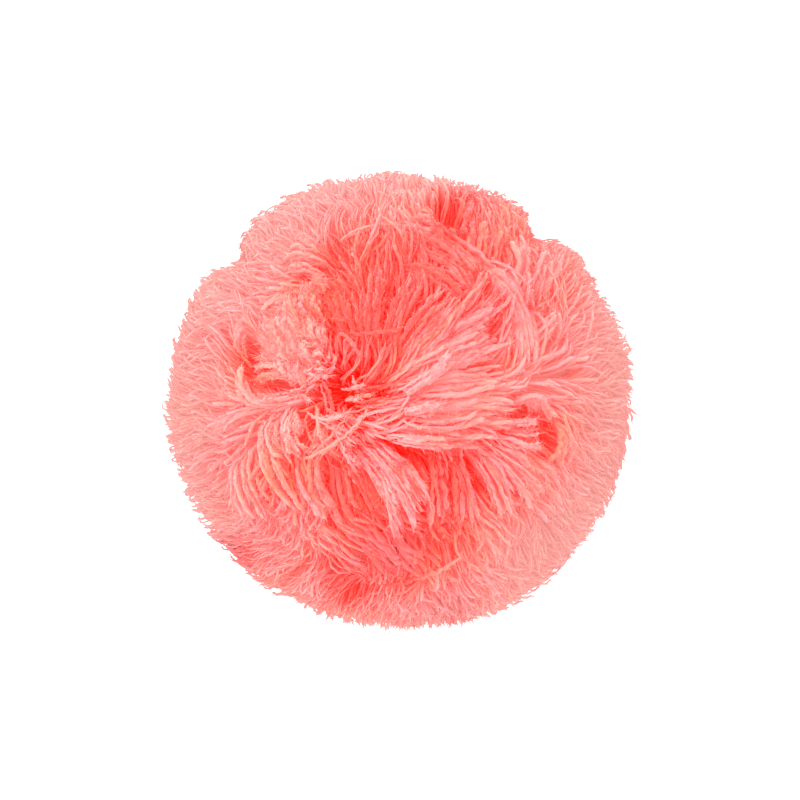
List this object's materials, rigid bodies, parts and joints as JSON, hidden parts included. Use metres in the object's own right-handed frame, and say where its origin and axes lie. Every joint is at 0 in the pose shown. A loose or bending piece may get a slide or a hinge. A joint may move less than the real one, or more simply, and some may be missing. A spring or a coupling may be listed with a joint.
{
  "type": "pom pom",
  "caption": "Round cut-yarn pom pom lying on its back, its thick pile of plied yarn fanned out from a bound middle, with a combed parting on its face.",
  "frame": {"origin": "middle of the base, on the surface that the pom pom lies on", "axes": "+Z out of the pom pom's face, away from the surface; +X to the right and +Y up as the face is seen"},
  "size_m": [0.1296, 0.1259, 0.1159],
  "materials": {
    "yarn": "soft matt plied acrylic yarn, cut pile, coral pink with saturated red depths"
  },
  "bodies": {
    "root": {"pompom": "yarn"}
  },
  "joints": []
}
